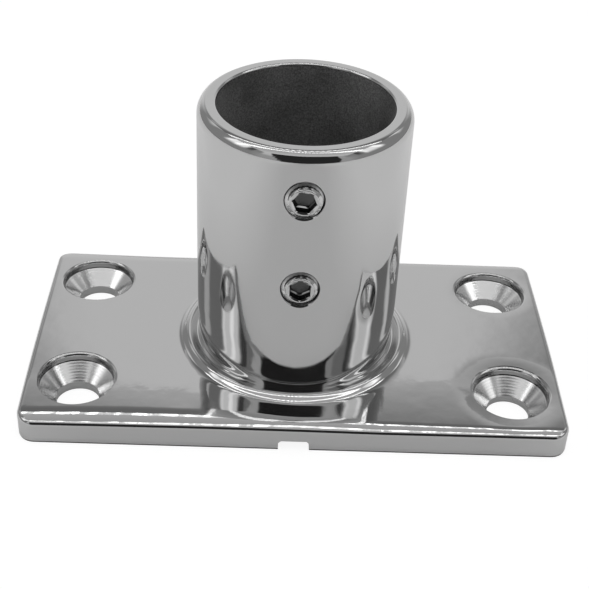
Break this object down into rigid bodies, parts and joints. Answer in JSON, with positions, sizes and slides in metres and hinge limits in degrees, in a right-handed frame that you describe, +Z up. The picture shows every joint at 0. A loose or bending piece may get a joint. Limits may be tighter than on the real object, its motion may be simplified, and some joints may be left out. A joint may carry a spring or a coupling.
{
  "type": "tube clamp base flange",
  "caption": "Rectangular cast base plate with countersunk mounting holes and an upright round socket, in which hex-socket set screws clamp a rail tube.",
  "frame": {"origin": "middle of the plate's underside, on the axis of the socket", "axes": "+Z up the socket's axis, +X along the plate's length, and -Y towards the front, where the set screws and the drain notch are"},
  "size_m": [0.082, 0.0448, 0.046],
  "materials": {
    "polished_steel": "mirror-polished cast stainless steel, with an as-cast bore and machined countersinks",
    "set_screw_steel": "plain machined stainless steel"
  },
  "bodies": {
    "flange": {"flange_body": "polished_steel"},
    "upper_screw": {"upper_set_screw": "set_screw_steel"},
    "lower_screw": {"lower_set_screw": "set_screw_steel"}
  },
  "joints": [
    {"name": "upper_screw_travel", "type": "slide", "parent": "flange", "child": "upper_screw", "axis": [0, 1, 0], "range_m": [-0.0015, 0.0015]},
    {"name": "lower_screw_travel", "type": "slide", "parent": "flange", "child": "lower_screw", "axis": [0, 1, 0], "range_m": [-0.0015, 0.0015]}
  ]
}
